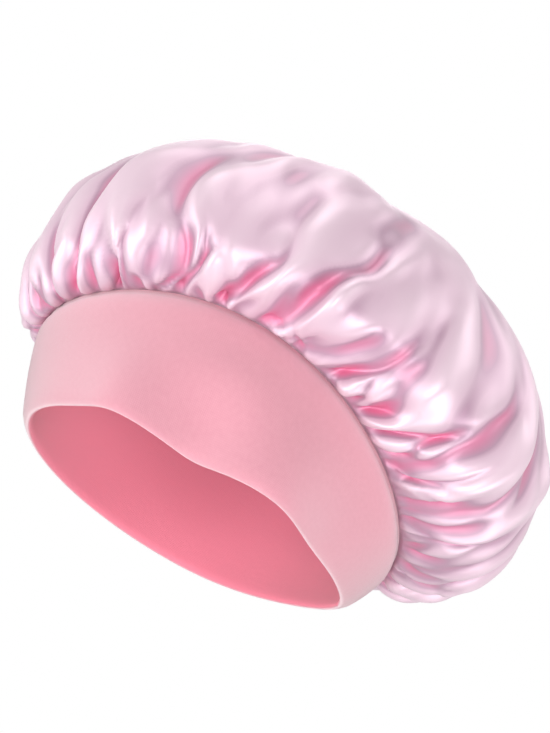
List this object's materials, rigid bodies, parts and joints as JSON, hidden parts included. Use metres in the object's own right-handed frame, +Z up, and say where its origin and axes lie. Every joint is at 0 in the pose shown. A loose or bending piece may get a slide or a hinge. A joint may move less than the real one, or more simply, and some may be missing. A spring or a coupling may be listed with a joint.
{
  "type": "satin hair bonnet",
  "caption": "Soft satin hair bonnet: a round crown gathered in folds into a wide knit band, folded at the hem over a hidden elastic that holds it round the head.",
  "frame": {"origin": "centre of the head opening, in the plane of the hem", "axes": "+Z up through the top of the crown, -Y towards the forehead, +Y towards the nape and the band's back seam, +X towards the wearer's left ear"},
  "size_m": [0.2676, 0.29, 0.1822],
  "materials": {
    "satin": "glossy woven satin, pale mauve pink",
    "knit": "matte fine stretch knit, warm pink",
    "elastic": "woven elastic webbing, off-white",
    "thread": "polyester sewing thread, pink"
  },
  "bodies": {
    "band": {"band_sleeve": "knit", "band_elastic": "elastic", "gathering_thread": "thread", "join_thread": "thread", "overlock_thread": "thread", "back_seam_thread": "thread", "elastic_tack": "thread"},
    "crown": {"crown_cloth": "satin"}
  },
  "joints": [
    {"name": "crown_press", "type": "slide", "parent": "band", "child": "crown", "axis": [0, 0, -1], "range_m": [0, 0.07], "deforming": ["crown_cloth"]}
  ]
}
